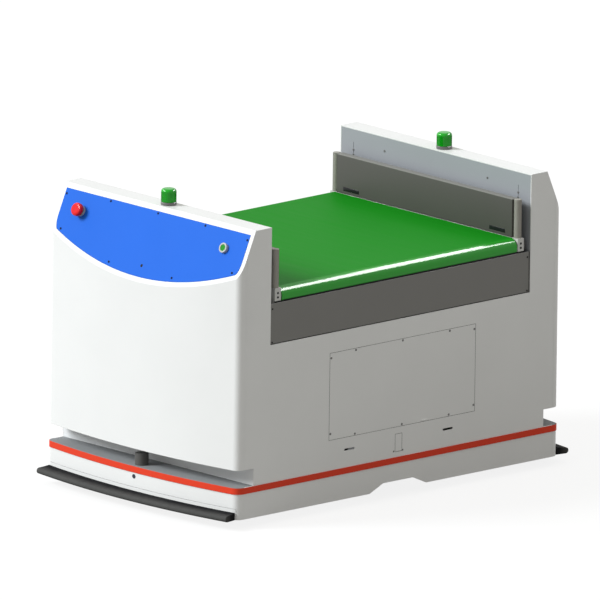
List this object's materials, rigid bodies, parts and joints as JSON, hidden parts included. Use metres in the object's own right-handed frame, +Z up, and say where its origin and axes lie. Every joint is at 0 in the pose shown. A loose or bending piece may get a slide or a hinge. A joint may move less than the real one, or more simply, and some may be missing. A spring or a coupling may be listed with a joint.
{
  "type": "autonomous mobile robot",
  "caption": "Wheeled transport vehicle with bowed end towers, sloped control panel, cross-belt conveyor in the load bay, bumper strips, corner casters and side drive wheels.",
  "frame": {"origin": "on the floor under the middle of the vehicle", "axes": "+Z up, -Y the vehicle's front with the control panel, +X the vehicle's left side"},
  "size_m": [0.824, 1.448, 0.944],
  "materials": {
    "white_cover": "semi-gloss powder coat, fine orange peel",
    "panel_blue": "satin film on sheet metal",
    "ledge_grey": "satin powder coat",
    "trim_red": "self-adhesive band, satin",
    "fascia_grey": "dark grey powder coat",
    "guard_metal": "mid grey powder coat",
    "frame_aluminium": "extruded, anodised",
    "tube_steel": "dark powder-coated box tube",
    "zinc_steel": "zinc plated",
    "motor_black": "satin black",
    "belt_green": "glossy PVC cover",
    "block_pale": "moulded, pale grey",
    "bumper_black": "matte",
    "scanner_grey": "satin dark window and housing",
    "stop_red": "glossy",
    "collar_grey": "satin moulded",
    "start_green": "glossy",
    "beacon_green": "glossy tinted dome",
    "tyre_black": "matte",
    "caster_grey": "grey polyurethane",
    "equipment_grey": "satin housing",
    "sensor_black": "smooth dark window"
  },
  "bodies": {
    "chassis": {"access_doors": "white_cover", "battery_pack": "equipment_grey", "bay_fascias": "fascia_grey", "beacon_bases": "collar_grey", "beacon_lenses": "beacon_green", "bearing_blocks": "block_pale", "belt_sensors": "sensor_black", "caster_mounts": "zinc_steel", "chassis_frame": "tube_steel", "console_panel": "panel_blue", "control_cabinet": "equipment_grey", "conveyor_belt": "belt_green", "conveyor_gearmotor": "motor_black", "conveyor_side_frames": "frame_aluminium", "drive_brackets": "tube_steel", "drive_gearmotors": "motor_black", "end_ledges": "ledge_grey", "end_skirts": "white_cover", "equipment_trays": "zinc_steel", "estop_base": "collar_grey", "front_cover": "white_cover", "load_guards": "guard_metal", "rear_cover": "white_cover", "recess_walls": "ledge_grey", "red_trim_band": "trim_red", "scanner_housings": "scanner_grey", "sensor_windows": "sensor_black", "service_plates": "white_cover", "side_panels": "white_cover", "side_skirts": "white_cover", "slider_bed": "zinc_steel", "start_button_bezel": "collar_grey", "timing_belt": "bumper_black", "tower_walls": "ledge_grey", "upper_frame": "tube_steel"},
    "left_drive_wheel": {"left_drive_hub": "frame_aluminium", "left_drive_tyre": "tyre_black"},
    "right_drive_wheel": {"right_drive_hub": "frame_aluminium", "right_drive_tyre": "tyre_black"},
    "estop_plunger": {"estop_stem": "zinc_steel"},
    "estop_mushroom": {"estop_head": "stop_red"},
    "start_button": {"start_button_cap": "start_green"},
    "front_bumper": {"front_bumper_carrier": "white_cover", "front_bumper_rubber": "bumper_black"},
    "rear_bumper": {"rear_bumper_carrier": "white_cover", "rear_bumper_rubber": "bumper_black"},
    "front_scanner_drum": {"front_scanner_rotor": "frame_aluminium"},
    "rear_scanner_drum": {"rear_scanner_rotor": "frame_aluminium"},
    "belt_drive": {"drive_roller": "zinc_steel"},
    "belt_tail": {"tail_roller": "zinc_steel"},
    "belt_motor": {"motor_pulley": "frame_aluminium"},
    "front_left_caster_swivel": {"front_left_caster_fork": "zinc_steel"},
    "front_left_caster_roll": {"front_left_caster_wheel": "caster_grey"},
    "front_right_caster_swivel": {"front_right_caster_fork": "zinc_steel"},
    "front_right_caster_roll": {"front_right_caster_wheel": "caster_grey"},
    "rear_left_caster_swivel": {"rear_left_caster_fork": "zinc_steel"},
    "rear_left_caster_roll": {"rear_left_caster_wheel": "caster_grey"},
    "rear_right_caster_swivel": {"rear_right_caster_fork": "zinc_steel"},
    "rear_right_caster_roll": {"rear_right_caster_wheel": "caster_grey"}
  },
  "joints": [
    {"name": "left_drive_spin", "type": "hinge", "parent": "chassis", "child": "left_drive_wheel", "pos_m": [0.22, 0, 0.08], "axis": [1, 0, 0], "continuous": true},
    {"name": "right_drive_spin", "type": "hinge", "parent": "chassis", "child": "right_drive_wheel", "pos_m": [-0.22, 0, 0.08], "axis": [1, 0, 0], "continuous": true},
    {"name": "front_left_swivel", "type": "hinge", "parent": "chassis", "child": "front_left_caster_swivel", "pos_m": [0.245, -0.4804, 0.1], "axis": [0, 0, 1], "continuous": true},
    {"name": "front_left_roll", "type": "hinge", "parent": "front_left_caster_swivel", "child": "front_left_caster_roll", "pos_m": [0.245, -0.4504, 0.04], "axis": [1, 0, 0], "continuous": true},
    {"name": "front_right_swivel", "type": "hinge", "parent": "chassis", "child": "front_right_caster_swivel", "pos_m": [-0.245, -0.4804, 0.1], "axis": [0, 0, 1], "continuous": true},
    {"name": "front_right_roll", "type": "hinge", "parent": "front_right_caster_swivel", "child": "front_right_caster_roll", "pos_m": [-0.245, -0.4504, 0.04], "axis": [1, 0, 0], "continuous": true},
    {"name": "rear_left_swivel", "type": "hinge", "parent": "chassis", "child": "rear_left_caster_swivel", "pos_m": [0.245, 0.4804, 0.1], "axis": [0, 0, 1], "continuous": true},
    {"name": "rear_left_roll", "type": "hinge", "parent": "rear_left_caster_swivel", "child": "rear_left_caster_roll", "pos_m": [0.245, 0.5104, 0.04], "axis": [1, 0, 0], "continuous": true},
    {"name": "rear_right_swivel", "type": "hinge", "parent": "chassis", "child": "rear_right_caster_swivel", "pos_m": [-0.245, 0.4804, 0.1], "axis": [0, 0, 1], "continuous": true},
    {"name": "rear_right_roll", "type": "hinge", "parent": "rear_right_caster_swivel", "child": "rear_right_caster_roll", "pos_m": [-0.245, 0.5104, 0.04], "axis": [1, 0, 0], "continuous": true},
    {"name": "estop_press", "type": "slide", "parent": "chassis", "child": "estop_plunger", "axis": [0, 0.9171, -0.3987], "range_m": [0, 0.004], "stiffness_N_per_m": 1500, "springref_m": -0.002},
    {"name": "estop_twist", "type": "hinge", "parent": "estop_plunger", "child": "estop_mushroom", "pos_m": [-0.308, -0.62986, 0.83403], "axis": [0, 0.9171, -0.3987], "range_deg": [0, 35], "stiffness_Nm_per_rad": 0.05, "springref_deg": -5.73},
    {"name": "start_press", "type": "slide", "parent": "chassis", "child": "start_button", "axis": [0, 0.9171, -0.3987], "range_m": [0, 0.003], "stiffness_N_per_m": 800, "springref_m": -0.001},
    {"name": "front_bumper_press", "type": "slide", "parent": "chassis", "child": "front_bumper", "axis": [0, 1, 0], "range_m": [0, 0.006], "stiffness_N_per_m": 6000, "springref_m": -0.004},
    {"name": "rear_bumper_press", "type": "slide", "parent": "chassis", "child": "rear_bumper", "axis": [0, -1, 0], "range_m": [0, 0.006], "stiffness_N_per_m": 6000, "springref_m": -0.004},
    {"name": "front_scanner_spin", "type": "hinge", "parent": "chassis", "child": "front_scanner_drum", "pos_m": [0, -0.649, 0.14], "axis": [0, 0, 1], "continuous": true},
    {"name": "rear_scanner_spin", "type": "hinge", "parent": "chassis", "child": "rear_scanner_drum", "pos_m": [0, 0.649, 0.14], "axis": [0, 0, 1], "continuous": true},
    {"name": "belt_drive_spin", "type": "hinge", "parent": "chassis", "child": "belt_drive", "pos_m": [0.3767, 0, 0.6787], "axis": [0, 1, 0], "continuous": true},
    {"name": "belt_tail_spin", "type": "hinge", "parent": "chassis", "child": "belt_tail", "pos_m": [-0.3767, 0, 0.6787], "axis": [0, 1, 0], "continuous": true},
    {"name": "belt_motor_spin", "type": "hinge", "parent": "chassis", "child": "belt_motor", "pos_m": [0.27, 0.5, 0.614], "axis": [0, 1, 0], "continuous": true}
  ],
  "couplings": [
    {"joint": "belt_tail_spin", "follows": "belt_drive_spin", "ratio": 1},
    {"joint": "belt_motor_spin", "follows": "belt_drive_spin", "ratio": 1.25}
  ]
}
